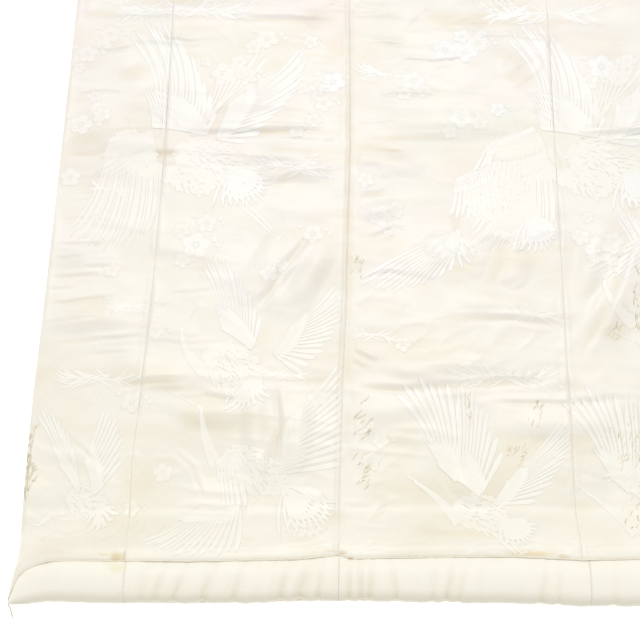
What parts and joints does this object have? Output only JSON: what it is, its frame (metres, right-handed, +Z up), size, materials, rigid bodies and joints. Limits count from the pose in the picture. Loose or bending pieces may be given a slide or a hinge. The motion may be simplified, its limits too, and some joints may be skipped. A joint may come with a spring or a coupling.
{
  "type": "formal kimono robe",
  "caption": "Long brocade wedding robe lying open and flat, outside up, with wide hanging sleeves, a neck band and a padded satin hem.",
  "frame": {"origin": "centre of the bounding box on the surface the robe lies on", "axes": "+Z up, +Y from the padded hem towards the neck, +X towards the wearer's right side"},
  "size_m": [1.507, 2.013, 0.038],
  "materials": {
    "brocade": "ivory figured silk satin, lined with plain satin",
    "hem_satin": "plain off-white silk satin over soft wadding",
    "thread": "loose twisted silk thread"
  },
  "bodies": {
    "root": {"back_left": "brocade", "back_right": "brocade", "front_left": "brocade", "front_right": "brocade", "overlap_left": "brocade", "overlap_right": "brocade", "sleeve_left": "brocade", "sleeve_right": "brocade", "collar_left": "brocade", "collar_right": "brocade", "hem_roll_back_left": "hem_satin", "hem_roll_back_right": "hem_satin", "hem_roll_front_left": "hem_satin", "hem_roll_front_right": "hem_satin", "hem_roll_overlap_left": "hem_satin", "hem_roll_overlap_right": "hem_satin", "corner_thread": "thread"}
  },
  "joints": []
}
